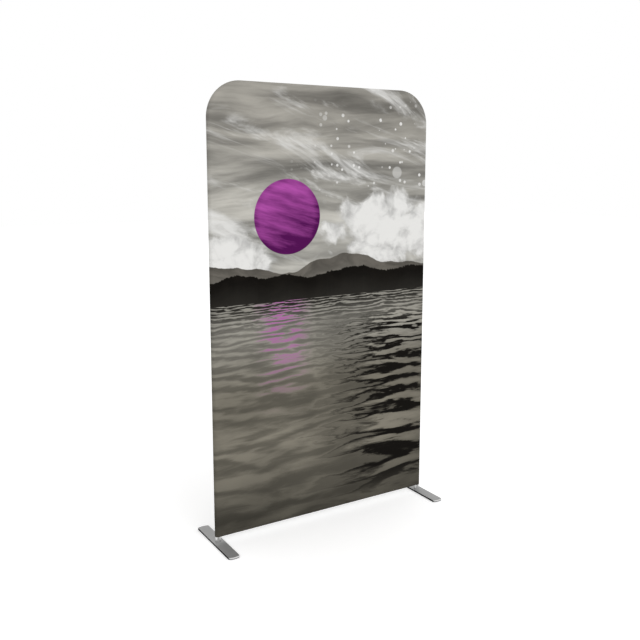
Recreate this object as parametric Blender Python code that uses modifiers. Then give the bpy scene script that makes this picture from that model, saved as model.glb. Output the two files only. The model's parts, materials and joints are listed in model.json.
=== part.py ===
"""Free-standing fabric frame banner: a frame of push-in tubes, a zipped stretch cover and two foot plates.

The banner stands on the floor at Z 0 with its printed front towards -Y and its width along X.
"""

from math import asin, cos, pi, sin, sqrt

import bmesh
import bpy
from mathutils import Matrix, Vector

# Overall sizes of the dressed banner, in metres
BANNER_WIDTH = 1.140
BANNER_HEIGHT = 2.000
CORNER_RADIUS = 0.156
COVER_BOTTOM = 0.027

# Clearance between pieces that touch
SEAT_GAP = 0.0003

# Frame tube, its reduced push-in ends and the lengths of its sections
TUBE_DIAMETER = 0.025
TUBE_WALL = 0.0012
SWAGE_CLEARANCE = 0.0002
SWAGE_TAPER = 0.002
SWAGE_LENGTH = 0.055
CORNER_LEG = 0.085
STUB_COLLAR = 0.006
MIDDLE_JOINT_SHARE = 0.5

# Snap button and the bent leaf spring behind it
BUTTON_RADIUS = 0.003
BUTTON_HOLE_CLEARANCE = 0.0003
BUTTON_RISE = 0.0025
BUTTON_DOME = 0.0018
BUTTON_FLANGE = 0.0012
FLANGE_THICKNESS = 0.0008
BUTTON_SETBACK = 0.030
SPRING_WIDTH = 0.006
SPRING_THICKNESS = 0.0006
SPRING_LENGTH = 0.026
SPRING_BEND_RADIUS = 0.0025
SPRING_SEAT = 0.004

# Cover
FABRIC_THICKNESS = 0.0006
POST_CLEARANCE = 0.003
POST_EDGE_RISE = 0.005

# Zip across the foot of the back panel
ZIP_OPENING = 0.011
ZIP_TUBE_MARGIN = 0.002
TAPE_WIDTH = 0.0136
TAPE_THICKNESS = 0.0005
TAPE_END_GAP = 0.001
TEETH_WIDTH = 0.0022
TEETH_HEIGHT = 0.0018
TEETH_END_MARGIN = 0.016
STOP_LENGTH = 0.003
STOP_LIP = 0.0003

# Zip slider and its pull tab
SLIDER_LENGTH = 0.014
SLIDER_WIDTH = 0.0092
SLIDER_PLATE = 0.0012
SLIDER_EDGE = 0.0005
SLIDER_BRIDGE_WIDTH = 0.0012
SLIDER_BRIDGE_LENGTH = 0.003
SLIDER_BRIDGE_SETBACK = 0.0015
SLIDER_FLANGE = 0.0009
SLIDER_FLANGE_SHARES = (-0.25, 0.40)
BAIL_WIRE = 0.0012
BAIL_SPAN = 0.0066
BAIL_HEIGHT = 0.0022
TAB_LENGTH = 0.026
TAB_WIDTH = 0.0056
TAB_THICKNESS = 0.0012
TAB_EYE_WIDTH = 0.0026
TAB_END_RADIUS = 0.0018
TAB_HOLE_RADIUS = 0.0012

# Feet
PLATE_LENGTH = 0.350
PLATE_WIDTH = 0.052
PLATE_THICKNESS = 0.008
PLATE_END_BOW = 0.005
PLATE_CORNER = 0.012
PLATE_ROUND_INSET = 0.005
PLATE_ROUND_DROP = 0.004
PAD_THICKNESS = 0.0005
PAD_LENGTH = 0.045
PAD_INSET = 0.006
PAD_CORNER = 0.004
SPIGOT_HEIGHT = 0.065
SPIGOT_CLEARANCE = 0.0003
SPIGOT_CHAMFER = 0.002
SCREW_RADIUS = 0.004
SCREW_HEAD_RADIUS = 0.008
SCREW_LENGTH = 0.024
SCREW_INSET = 0.0006
SCREW_CLEARANCE = 0.0003
SCREW_LAND = 0.0006
HEX_WIDTH = 0.005
HEX_DEPTH = 0.003

# How finely round shapes are cut
ROUND_SIDES = 24
BEND_SIDES = 24
SMALL_SIDES = 12
CORNER_STEPS = 12
WRAP_STEPS = 6
END_STEPS = 8
FILLET_STEPS = 4
ROUND_STEPS = 4
CUT_OVERRUN = 0.002
SHARP_ANGLE = pi / 5
MERGE_DISTANCE = 0.00001

# Sizes that follow from the ones above
tube_radius = TUBE_DIAMETER / 2
tube_bore = tube_radius - TUBE_WALL
swage_radius = tube_bore - SWAGE_CLEARANCE
swage_bore = swage_radius - TUBE_WALL
cover_inside = tube_radius + SEAT_GAP
cover_outside = cover_inside + FABRIC_THICKNESS
upright_x = BANNER_WIDTH / 2 - cover_outside
top_z = BANNER_HEIGHT - cover_outside
bottom_z = COVER_BOTTOM + cover_outside
leg_z = COVER_BOTTOM + POST_EDGE_RISE
bend_radius = CORNER_RADIUS - cover_outside
bend_x = upright_x - bend_radius
bend_z = top_z - bend_radius
plate_bottom = PAD_THICKNESS + SEAT_GAP
plate_top = plate_bottom + PLATE_THICKNESS
flap_x = upright_x - tube_radius - POST_CLEARANCE
zip_z = bottom_z + tube_radius + ZIP_TUBE_MARGIN + TAPE_WIDTH
zip_gap = SLIDER_BRIDGE_WIDTH / 2 + SEAT_GAP
tape_y = cover_inside - SEAT_GAP - TAPE_THICKNESS
teeth_y = tape_y + TAPE_THICKNESS + SEAT_GAP
teeth_x = flap_x - TEETH_END_MARGIN


def new_collection(name):
    made = bpy.data.collections.new(name)
    bpy.context.scene.collection.children.link(made)
    return made


def new_material(name, colour, roughness, metallic=0.0):
    made = bpy.data.materials.new(name)
    made.use_nodes = True
    shader = made.node_tree.nodes["Principled BSDF"]
    shader.inputs["Base Color"].default_value = (*colour, 1.0)
    shader.inputs["Roughness"].default_value = roughness
    shader.inputs["Metallic"].default_value = metallic
    made.diffuse_color = (*colour, 1.0)
    return made


for old in list(bpy.data.objects):
    bpy.data.objects.remove(old, do_unlink=True)

parts = new_collection("fabric_frame_banner")
cutters = new_collection("cutters")
cutters.hide_render = True


def add_piece(name, data, finish):
    """An object in the banner's collection, with a material of its own."""
    piece = bpy.data.objects.new(name, data)
    data.materials.append(new_material(name, *finish))
    parts.objects.link(piece)
    return piece


def add_cutter(name, mesh):
    cutter = bpy.data.objects.new(name, mesh)
    cutter.hide_render = True
    cutter.display_type = "WIRE"
    cutters.objects.link(cutter)
    return cutter


def combine(piece, other, operation="DIFFERENCE"):
    """Cuts the other object from the piece, or joins it to the piece."""
    modifier = piece.modifiers.new(other.name, "BOOLEAN")
    modifier.operation = operation
    modifier.solver = "EXACT"
    modifier.object = other


def settle(piece):
    """Applies the modifiers and shades the round faces smooth."""
    graph = bpy.context.evaluated_depsgraph_get()
    mesh = bpy.data.meshes.new_from_object(piece.evaluated_get(graph))
    if piece.type == "CURVE":
        name, place, finish = piece.name, piece.matrix_world.copy(), piece.data.materials[0]
        bpy.data.objects.remove(piece)
        weld(mesh)
        mesh.materials.clear()
        mesh.materials.append(finish)
        piece = bpy.data.objects.new(name, mesh)
        piece.matrix_world = place
        parts.objects.link(piece)
    else:
        piece.modifiers.clear()
        piece.data = mesh
    mesh.shade_smooth()
    mesh.set_sharp_from_angle(angle=SHARP_ANGLE)
    return piece


def weld(mesh):
    form = bmesh.new()
    form.from_mesh(mesh)
    bmesh.ops.remove_doubles(form, verts=form.verts, dist=MERGE_DISTANCE)
    bmesh.ops.recalc_face_normals(form, faces=form.faces)
    form.to_mesh(mesh)
    form.free()


def turned_mesh(name, profile, closed):
    """The outline (radius, height) of a turned piece, down its outer side from the top."""
    mesh = bpy.data.meshes.new(name)
    count = len(profile)
    edges = [(i, (i + 1) % count) for i in range(count if closed else count - 1)]
    mesh.from_pydata([(radius, 0, height) for radius, height in profile], edges, [])
    return mesh


def add_screw(piece, sides):
    screw = piece.modifiers.new("turn", "SCREW")
    screw.axis = "Z"
    screw.steps = sides
    screw.render_steps = sides
    screw.use_merge_vertices = True
    screw.merge_threshold = MERGE_DISTANCE


def turned(name, profile, finish, closed=False, sides=ROUND_SIDES):
    """A piece turned about its own Z. A closed profile makes a ring."""
    piece = add_piece(name, turned_mesh(name, profile, closed), finish)
    add_screw(piece, sides)
    return piece


def turned_cutter(name, profile, sides=ROUND_SIDES):
    cutter = add_cutter(name, turned_mesh(name, profile, closed=False))
    add_screw(cutter, sides)
    return cutter


def rod_profile(radius, low, high):
    return [(0, high), (radius, high), (radius, low), (0, low)]


def slab_mesh(name, outline, layers, round_corners=()):
    """A flat outline (x, y) carried up through layers of (height, x scale, y scale).

    round_corners lists (radius, [numbers of the outline's corners]).
    """
    form = bmesh.new()
    corners = [form.verts.new((x, y, 0)) for x, y in outline]
    form.faces.new(corners)
    for radius, numbers in round_corners:
        bmesh.ops.bevel(
            form,
            geom=[corners[i] for i in numbers],
            affect="VERTICES",
            offset=radius,
            offset_type="OFFSET",
            segments=FILLET_STEPS,
            profile=0.5,
            clamp_overlap=True,
        )
    face = form.faces[:][0]
    face.normal_update()
    if face.normal.z > 0:
        face.normal_flip()
    ring = [Vector(vert.co) for vert in face.verts]
    bottom, scale_x, scale_y = layers[0]
    for vert, point in zip(face.verts, ring):
        vert.co = (point.x * scale_x, point.y * scale_y, bottom)
    below = list(face.verts)
    for height, scale_x, scale_y in layers[1:]:
        above = [form.verts.new((p.x * scale_x, p.y * scale_y, height)) for p in ring]
        for i in range(len(ring)):
            j = (i + 1) % len(ring)
            form.faces.new((below[j], below[i], above[i], above[j]))
        below = above
    form.faces.new(list(reversed(below)))
    bmesh.ops.recalc_face_normals(form, faces=form.faces)
    mesh = bpy.data.meshes.new(name)
    form.to_mesh(mesh)
    form.free()
    return mesh


def rectangle(width, length):
    x, y = width / 2, length / 2
    return [(-x, -y), (x, -y), (x, y), (-x, y)]


def box_mesh(name, low, high):
    """A box between two corners."""
    form = bmesh.new()
    middle = (Vector(low) + Vector(high)) / 2
    size = Vector(high) - Vector(low)
    place = Matrix.Translation(middle) @ Matrix.Diagonal((*size, 1.0))
    bmesh.ops.create_cube(form, size=1.0, matrix=place)
    mesh = bpy.data.meshes.new(name)
    form.to_mesh(mesh)
    form.free()
    return mesh


def marker(name, place, x_axis, z_axis):
    """An empty whose X and Z point along two directions at right angles."""
    along = Vector(z_axis)
    out = Vector(x_axis)
    turn = Matrix((out, along.cross(out), along)).transposed()
    empty = bpy.data.objects.new(name, None)
    empty.matrix_world = Matrix.Translation(place) @ turn.to_4x4()
    parts.objects.link(empty)
    return empty


# The two sides of the banner seen from its front
SIDES = ((-1, "left"), (1, "right"))

# Finishes: colour, roughness, metallic
ALUMINIUM = ((0.62, 0.63, 0.64), 0.35, 1.0)
STEEL = ((0.50, 0.50, 0.50), 0.32, 1.0)
SPRING_STEEL = ((0.40, 0.41, 0.43), 0.30, 1.0)
FRONT_PRINT = ((0.20, 0.19, 0.17), 0.85, 0.0)
BACK_PRINT = ((0.22, 0.21, 0.19), 0.85, 0.0)
ZIP_CLOTH = ((0.03, 0.03, 0.03), 0.90, 0.0)
ZIP_NYLON = ((0.04, 0.04, 0.04), 0.45, 0.0)
ZIP_METAL = ((0.30, 0.30, 0.31), 0.30, 1.0)
PAD_RUBBER = ((0.03, 0.03, 0.03), 0.80, 0.0)


def tube_profile(low, high, low_swaged, high_swaged):
    """The closed profile of a tube from low to high, with reduced push-in ends beyond where asked for."""
    outer = []
    inner = []
    if high_swaged:
        tip = high + SWAGE_TAPER + SWAGE_LENGTH
        neck = high + SWAGE_TAPER
        outer += [(swage_radius, tip), (swage_radius, neck)]
        inner += [(swage_bore, tip), (swage_bore, neck)]
    outer.append((tube_radius, high))
    inner.append((tube_bore, high))
    outer.append((tube_radius, low))
    inner.append((tube_bore, low))
    if low_swaged:
        neck = low - SWAGE_TAPER
        tip = neck - SWAGE_LENGTH
        outer += [(swage_radius, neck), (swage_radius, tip)]
        inner += [(swage_bore, neck), (swage_bore, tip)]
    return outer + list(reversed(inner))


def add_tube(name, place, x_axis, z_axis, low, high, low_swaged=False, high_swaged=False):
    """A straight tube along an axis through a place, with its ends at low and high along that axis."""
    tube = turned(name, tube_profile(low, high, low_swaged, high_swaged), ALUMINIUM, closed=True)
    tube.parent = marker(name + "_axis", place, x_axis, z_axis)
    return tube


def add_corner(name, side):
    """A tube bent through a quarter circle, with a straight leg at each end."""
    route = [(side * upright_x, 0, bend_z - CORNER_LEG)]
    for step in range(CORNER_STEPS + 1):
        turn = pi / 2 * step / CORNER_STEPS
        route.append((side * (bend_x + bend_radius * cos(turn)), 0, bend_z + bend_radius * sin(turn)))
    route.append((side * (bend_x - CORNER_LEG), 0, top_z))
    curve = bpy.data.curves.new(name, "CURVE")
    curve.dimensions = "3D"
    curve.bevel_depth = tube_radius
    curve.bevel_resolution = BEND_SIDES // 2 - 2
    spline = curve.splines.new("POLY")
    spline.points.add(len(route) - 1)
    for point, place in zip(spline.points, route):
        point.co = (*place, 1.0)
    corner = add_piece(name, curve, ALUMINIUM)
    wall = corner.modifiers.new("wall", "SOLIDIFY")
    wall.thickness = TUBE_WALL
    wall.offset = -1.0
    return settle(corner)


def add_stub(name, side):
    """The hollow spigot welded to the upright, cut to the upright's round, that carries the bottom tube."""
    shoulder = tube_radius + STUB_COLLAR
    stub = turned(name, tube_profile(0, shoulder, False, True), ALUMINIUM, closed=True)
    stub.parent = marker(name + "_axis", (side * upright_x, 0, bottom_z), (0, 0, 1), (-side, 0, 0))
    reach = TUBE_DIAMETER
    saddle = turned_cutter(name + "_saddle", rod_profile(tube_radius + SEAT_GAP, -reach, reach))
    saddle.location = (side * upright_x, 0, bottom_z)
    combine(stub, saddle)
    return stub


def add_snap_joint(name, shoulder, along, press_out, tubes):
    """A snap button, its leaf spring and their hole through both tubes.

    shoulder is where the reduced end starts on the tube's axis, along points to its tip, and press_out is
    the way the button stands out.
    """
    centre = Vector(shoulder) + Vector(along) * BUTTON_SETBACK
    joint = marker("snap_joint_" + name, centre, press_out, along)

    flange_radius = BUTTON_RADIUS + BUTTON_FLANGE
    flange_top = sqrt(swage_bore**2 - flange_radius**2) - SEAT_GAP
    flange_bottom = flange_top - FLANGE_THICKNESS
    tip = tube_radius + BUTTON_RISE
    dome = [
        (BUTTON_RADIUS * sin(turn), tip - BUTTON_DOME + BUTTON_DOME * cos(turn))
        for turn in (pi / 2 * step / FILLET_STEPS for step in range(FILLET_STEPS + 1))
    ]
    dome[0] = (0, tip)
    profile = dome + [
        (BUTTON_RADIUS, flange_top),
        (flange_radius, flange_top),
        (flange_radius, flange_bottom),
        (0, flange_bottom),
    ]
    button = turned("snap_button_" + name, profile, SPRING_STEEL, sides=SMALL_SIDES)
    button.parent = joint
    button.rotation_euler = (0, pi / 2, 0)
    settle(button)

    hole_radius = BUTTON_RADIUS + BUTTON_HOLE_CLEARANCE
    hole_profile = rod_profile(hole_radius, 0, tube_radius + CUT_OVERRUN)
    hole = turned_cutter("snap_hole_" + name, hole_profile, SMALL_SIDES)
    hole.parent = joint
    hole.rotation_euler = (0, pi / 2, 0)
    for tube in tubes:
        combine(tube, hole)

    near = flange_bottom - SEAT_GAP - SPRING_THICKNESS / 2
    far = SEAT_GAP + SPRING_THICKNESS / 2 - sqrt(swage_bore**2 - (SPRING_WIDTH / 2) ** 2)
    bend_centre = (near + far) / 2
    bend_end = SPRING_BEND_RADIUS - SPRING_LENGTH
    path = [(near, SPRING_SEAT), (near, -SPRING_SEAT)]
    for step in range(END_STEPS + 1):
        turn = pi * step / END_STEPS
        x = bend_centre + SPRING_BEND_RADIUS * cos(turn)
        path.append((x, bend_end - SPRING_BEND_RADIUS * sin(turn)))
    path += [(far, -SPRING_SEAT), (far, SPRING_SEAT)]
    strip = ribbon_mesh("snap_spring_" + name, path, SPRING_WIDTH)
    spring = add_piece(strip.name, strip, SPRING_STEEL)
    leaf = spring.modifiers.new("leaf", "SOLIDIFY")
    leaf.thickness = SPRING_THICKNESS
    leaf.offset = 0.0
    leaf.use_even_offset = True
    spring.parent = joint
    settle(spring)


def ribbon_mesh(name, path, width):
    """A strip along a path of (x, z), with its width along Y."""
    form = bmesh.new()
    left = [form.verts.new((x, -width / 2, z)) for x, z in path]
    right = [form.verts.new((x, width / 2, z)) for x, z in path]
    for i in range(len(path) - 1):
        form.faces.new((left[i], left[i + 1], right[i + 1], right[i]))
    mesh = bpy.data.meshes.new(name)
    form.to_mesh(mesh)
    form.free()
    return mesh


def build_frame():
    """The push-in tube sections, the stubs of the bottom tube and their snap joints."""
    up, down = (0, 0, 1), (0, 0, -1)
    foot_end = plate_top + SEAT_GAP
    corner_end = bend_z - CORNER_LEG
    middle = foot_end + (corner_end - foot_end) * MIDDLE_JOINT_SHARE
    upper_shoulder = corner_end - SWAGE_TAPER
    lower_shoulder = middle - SWAGE_TAPER
    top_shoulder = bend_x - CORNER_LEG - SWAGE_TAPER
    stub_shoulder = upright_x - tube_radius - STUB_COLLAR
    bottom_end = stub_shoulder - SWAGE_TAPER

    top_middle = (0, 0, top_z)
    bottom_middle = (0, 0, bottom_z)
    top = add_tube("top_tube", top_middle, down, (1, 0, 0), -top_shoulder, top_shoulder, True, True)
    bottom = {
        "left": add_tube("bottom_tube_left", bottom_middle, up, (1, 0, 0), -bottom_end, 0),
        "right": add_tube(
            "bottom_tube_right", bottom_middle, up, (-1, 0, 0), -bottom_end, -SWAGE_TAPER, False, True
        ),
    }
    tubes = [top, *bottom.values()]
    for side, word in SIDES:
        inward, outward = (-side, 0, 0), (side, 0, 0)
        foot = (side * upright_x, 0, 0)
        upper_place = (side * upright_x, 0, upper_shoulder)
        lower_place = (side * upright_x, 0, lower_shoulder)
        stub_place = (side * stub_shoulder, 0, bottom_z)
        corner = add_corner("top_corner_" + word, side)
        upper = add_tube("upper_upright_" + word, foot, inward, up, middle, upper_shoulder, False, True)
        lower = add_tube("lower_upright_" + word, foot, inward, up, foot_end, lower_shoulder, False, True)
        stub = add_stub("bottom_stub_" + word, side)
        add_snap_joint("top_" + word, (side * top_shoulder, 0, top_z), outward, down, (top, corner))
        add_snap_joint("corner_" + word, upper_place, up, inward, (upper, corner))
        add_snap_joint("middle_" + word, lower_place, up, inward, (lower, upper))
        add_snap_joint("bottom_" + word, stub_place, inward, up, (stub, bottom[word]))
        tubes += [corner, upper, lower, stub]
    place = (SWAGE_TAPER, 0, bottom_z)
    add_snap_joint("bottom_middle", place, (-1, 0, 0), up, (bottom["right"], bottom["left"]))
    for tube in tubes:
        settle(tube)


def frame_line():
    """Points of the frame's centre line from the cover's left leg to its right one, with the way out."""
    line = [((-upright_x, leg_z), (-1.0, 0.0))]
    climb = range(CORNER_STEPS + 1)
    for side, steps in ((-1, climb), (1, reversed(climb))):
        for step in steps:
            turn = pi / 2 * step / CORNER_STEPS
            out = (side * cos(turn), sin(turn))
            line.append(((side * bend_x + bend_radius * out[0], bend_z + bend_radius * out[1]), out))
    line.append(((upright_x, leg_z), (1.0, 0.0)))
    return line


def wrap_rings(form, facing):
    """Rings of the cover from the flat face round the tubes to the seam. facing is -1 for the front."""
    seam_turn = pi / 2 - asin(SEAT_GAP / 2 / cover_inside)
    rings = []
    for step in range(WRAP_STEPS + 1):
        turn = seam_turn * step / WRAP_STEPS
        ring = []
        for (x, z), (out_x, out_z) in frame_line():
            reach = cover_inside * sin(turn)
            height = facing * cover_inside * cos(turn)
            ring.append(form.verts.new((x + out_x * reach, height, z + out_z * reach)))
        rings.append(ring)
    for inner, outer in zip(rings, rings[1:]):
        for i in range(len(inner) - 1):
            form.faces.new((inner[i], inner[i + 1], outer[i + 1], outer[i]))
    return rings[0]


def add_cover_panel(name, facing, leg_x, edge_z, finish, flap_rows=()):
    """A panel of the cover: flat inside the frame line, with a leg down each upright and any flap below.

    leg_x is where each leg's inner side stands, edge_z is the height of the flat part's lower edge between
    the legs, and flap_rows lists (y, z) of the rows of a flap that carries on from that edge.
    """
    form = bmesh.new()
    outline = wrap_rings(form, facing)
    flat_y = facing * cover_inside
    right_low = form.verts.new((leg_x, flat_y, leg_z))
    right_high = form.verts.new((leg_x, flat_y, edge_z))
    left_high = form.verts.new((-leg_x, flat_y, edge_z))
    left_low = form.verts.new((-leg_x, flat_y, leg_z))
    form.faces.new((*outline, right_low, right_high, left_high, left_low))
    above = (left_high, right_high)
    for y, z in flap_rows:
        below = (form.verts.new((-leg_x, y, z)), form.verts.new((leg_x, y, z)))
        form.faces.new((above[0], above[1], below[1], below[0]))
        above = below
    bmesh.ops.recalc_face_normals(form, faces=form.faces)
    if sum(face.normal.y * face.calc_area() for face in form.faces) * facing < 0:
        bmesh.ops.reverse_faces(form, faces=form.faces)
    mesh = bpy.data.meshes.new(name)
    form.to_mesh(mesh)
    form.free()
    panel = add_piece(name, mesh, finish)
    cloth = panel.modifiers.new("cloth", "SOLIDIFY")
    cloth.thickness = FABRIC_THICKNESS
    cloth.offset = 1.0
    cloth.use_even_offset = True
    return settle(panel)


def build_cover():
    """The two panels of the cover. The front one goes under the bottom tube and up behind it to the zip."""
    flap = []
    for step in range(1, 2 * WRAP_STEPS + 1):
        turn = pi * step / (2 * WRAP_STEPS)
        flap.append((-cover_inside * cos(turn), bottom_z - cover_inside * sin(turn)))
    flap.append((cover_inside, zip_z - ZIP_OPENING / 2))
    add_cover_panel("fabric_front", -1, flap_x, bottom_z, FRONT_PRINT, flap)
    add_cover_panel("fabric_back", 1, flap_x + SEAT_GAP, zip_z + ZIP_OPENING / 2, BACK_PRINT)


def add_box(name, low, high, finish):
    """A box between two corners, with its origin in its middle."""
    middle = (Vector(low) + Vector(high)) / 2
    box = add_piece(name, box_mesh(name, Vector(low) - middle, Vector(high) - middle), finish)
    box.location = middle


def build_zip():
    """Tapes behind the fabric's edges, the two rows of teeth, their stops, the slider and its pull tab."""
    tape_x = flap_x - TAPE_END_GAP
    for word, side in (("upper", 1), ("lower", -1)):
        near = zip_z + side * zip_gap
        tape_far = zip_z + side * TAPE_WIDTH
        teeth_far = near + side * TEETH_WIDTH
        low, high = sorted((near, tape_far))
        tape_top = tape_y + TAPE_THICKNESS
        add_box("zip_tape_" + word, (-tape_x, tape_y, low), (tape_x, tape_top, high), ZIP_CLOTH)
        low, high = sorted((near, teeth_far))
        teeth_top = teeth_y + TEETH_HEIGHT
        add_box("zip_teeth_" + word, (-teeth_x, teeth_y, low), (teeth_x, teeth_top, high), ZIP_NYLON)
    stop_reach = zip_gap + TEETH_WIDTH
    for side, word in SIDES:
        near = side * (teeth_x + SEAT_GAP)
        low, high = sorted((near, near + side * STOP_LENGTH))
        add_box(
            "zip_stop_" + word,
            (low, teeth_y, zip_z - stop_reach),
            (high, teeth_y + TEETH_HEIGHT + STOP_LIP, zip_z + stop_reach),
            ZIP_METAL,
        )
    build_slider()


# Half of the slider's outline as shares of its length and half width, from tail to nose
SLIDER_SHARES = ((-0.5, 0.55), (-0.42, 0.70), (-0.05, 0.80), (0.22, 1.0), (0.38, 1.0), (0.5, 0.72))


def slider_outline():
    half = []
    for length_share, width_share in SLIDER_SHARES:
        half.append((length_share * SLIDER_LENGTH, width_share * SLIDER_WIDTH / 2))
    return half + [(x, -y) for x, y in reversed(half)]


def build_slider():
    """The slider on the teeth. Its empty's Z points out of the back, and its X to the closed end."""
    place = (teeth_x - SLIDER_LENGTH / 2, 0, zip_z)
    runner = marker("zip_slider_axis", place, (1, 0, 0), (0, 1, 0))
    under_face = tape_y - SEAT_GAP
    under_low = under_face - SLIDER_PLATE
    over_face = teeth_y + TEETH_HEIGHT + SEAT_GAP
    top = over_face + SLIDER_PLATE
    drawn_in = (1 - 2 * SLIDER_EDGE / SLIDER_LENGTH, 1 - 2 * SLIDER_EDGE / SLIDER_WIDTH)

    over_layers = ((over_face, 1, 1), (top - SLIDER_EDGE, 1, 1), (top, *drawn_in))
    slider = add_piece("zip_slider", slab_mesh("zip_slider", slider_outline(), over_layers), ZIP_METAL)
    under_layers = ((under_low, *drawn_in), (under_low + SLIDER_EDGE, 1, 1), (under_face, 1, 1))
    extras = [slab_mesh("slider_under_plate", slider_outline(), under_layers)]

    bridge_high = SLIDER_LENGTH / 2 - SLIDER_BRIDGE_SETBACK
    bridge_low = bridge_high - SLIDER_BRIDGE_LENGTH
    sunk = SLIDER_PLATE / 2
    low = (bridge_low, -SLIDER_BRIDGE_WIDTH / 2, under_face - sunk)
    high = (bridge_high, SLIDER_BRIDGE_WIDTH / 2, over_face + sunk)
    extras.append(box_mesh("slider_bridge", low, high))

    flange_inside = zip_gap + TEETH_WIDTH + SEAT_GAP
    flange_start, flange_end = (share * SLIDER_LENGTH for share in SLIDER_FLANGE_SHARES)
    for word, side in (("upper", 1), ("lower", -1)):
        near, far = sorted((side * flange_inside, side * (flange_inside + SLIDER_FLANGE)))
        low = (flange_start, near, teeth_y)
        high = (flange_end, far, over_face + sunk)
        extras.append(box_mesh("slider_flange_" + word, low, high))
    extras.append(bail_mesh("slider_bail", top))
    for mesh in extras:
        extra = add_cutter(mesh.name, mesh)
        extra.parent = runner
        combine(slider, extra, "UNION")
    slider.parent = runner
    settle(slider)
    build_tab(place, top)


def bail_mesh(name, face):
    """The small arch on the slider that the pull tab hangs in, as a bent wire of square section."""
    half = BAIL_SPAN / 2
    rise = BAIL_HEIGHT + BAIL_WIRE / 2
    sunk = SLIDER_PLATE / 2
    path = [(-half, face - sunk)]
    for step in range(1, END_STEPS):
        turn = pi * step / END_STEPS
        path.append((-half * cos(turn), face + rise * sin(turn)))
    path.append((half, face - sunk))
    mesh = ribbon_mesh(name, path, BAIL_WIRE)
    strip = bpy.data.objects.new(name + "_strip", mesh)
    parts.objects.link(strip)
    wire = strip.modifiers.new("wire", "SOLIDIFY")
    wire.thickness = BAIL_WIRE
    wire.offset = 0.0
    wire.use_even_offset = True
    graph = bpy.context.evaluated_depsgraph_get()
    made = bpy.data.meshes.new_from_object(strip.evaluated_get(graph))
    made.name = name
    bpy.data.objects.remove(strip)
    weld(made)
    return made


def build_tab(place, face):
    """The pull tab. Its bar turns under the bail, and it rests along the zip, away from the closed end."""
    pivot_y = face + BAIL_HEIGHT / 2
    pivot = marker("zip_tab_axis", (place[0], pivot_y, place[2]), (-1, 0, 0), (0, 1, 0))
    bar = TAB_THICKNESS / 2
    half_width = TAB_WIDTH / 2
    outline = [(-bar, -half_width), (TAB_LENGTH, -half_width), (TAB_LENGTH, half_width), (-bar, half_width)]
    layers = ((-bar, 1, 1), (bar, 1, 1))
    mesh = slab_mesh("zip_pull_tab", outline, layers, [(TAB_END_RADIUS, (1, 2))])
    tab = add_piece("zip_pull_tab", mesh, ZIP_METAL)
    tab.parent = pivot
    reach = bar + CUT_OVERRUN
    eye_end = BAIL_SPAN / 2 + BAIL_WIRE + BAIL_HEIGHT
    eye_mesh = box_mesh("tab_eye", (bar, -TAB_EYE_WIDTH / 2, -reach), (eye_end, TAB_EYE_WIDTH / 2, reach))
    eye = add_cutter("tab_eye", eye_mesh)
    eye.parent = pivot
    combine(tab, eye)
    hole = turned_cutter("tab_hole", rod_profile(TAB_HOLE_RADIUS, -reach, reach), SMALL_SIDES)
    hole.parent = pivot
    hole.location = (TAB_LENGTH - TAB_WIDTH / 2, 0, 0)
    combine(tab, hole)
    settle(tab)


def plate_outline():
    """Points round a bar with bowed ends and rounded corners, seen from above, with the way out at each."""
    half_width = PLATE_WIDTH / 2
    bow_radius = (half_width**2 + PLATE_END_BOW**2) / (2 * PLATE_END_BOW)
    bow_y = PLATE_LENGTH / 2 - bow_radius
    corner_x = half_width - PLATE_CORNER
    corner_y = bow_y + sqrt((bow_radius - PLATE_CORNER) ** 2 - corner_x**2)
    spread = asin(corner_x / (bow_radius - PLATE_CORNER))
    arcs = (
        (corner_x, corner_y, PLATE_CORNER, 0, pi / 2 - spread, END_STEPS),
        (0, bow_y, bow_radius, pi / 2 - spread, pi / 2 + spread, FILLET_STEPS),
        (-corner_x, corner_y, PLATE_CORNER, pi / 2 + spread, pi, END_STEPS),
    )
    outline = []
    for end in (1, -1):
        for centre_x, centre_y, radius, start, finish, steps in arcs:
            for step in range(1 if centre_x <= 0 else 0, steps + 1):
                turn = start + (finish - start) * step / steps
                out = Vector((cos(turn), sin(turn), 0))
                outline.append((end * (Vector((centre_x, centre_y, 0)) + radius * out), end * out))
    return outline


def plate_mesh(name):
    """A bar whose upper edge is rounded over at both ends and stays sharp along its sides."""
    form = bmesh.new()
    layers = [(plate_bottom, 0)]
    for step in range(ROUND_STEPS + 1):
        turn = pi / 2 * step / ROUND_STEPS
        layers.append((plate_top - PLATE_ROUND_DROP * (1 - sin(turn)), PLATE_ROUND_INSET * (1 - cos(turn))))
    rings = []
    for height, inset in layers:
        ring = []
        for point, out in plate_outline():
            x, y, _ = point - inset * out.y**2 * out
            ring.append(form.verts.new((x, y, height)))
        rings.append(ring)
    for below, above in zip(rings, rings[1:]):
        for i in range(len(below)):
            form.faces.new((below[i - 1], below[i], above[i], above[i - 1]))
    form.faces.new(list(reversed(rings[0])))
    form.faces.new(rings[-1])
    mesh = bpy.data.meshes.new(name)
    form.to_mesh(mesh)
    form.free()
    return mesh


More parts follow.
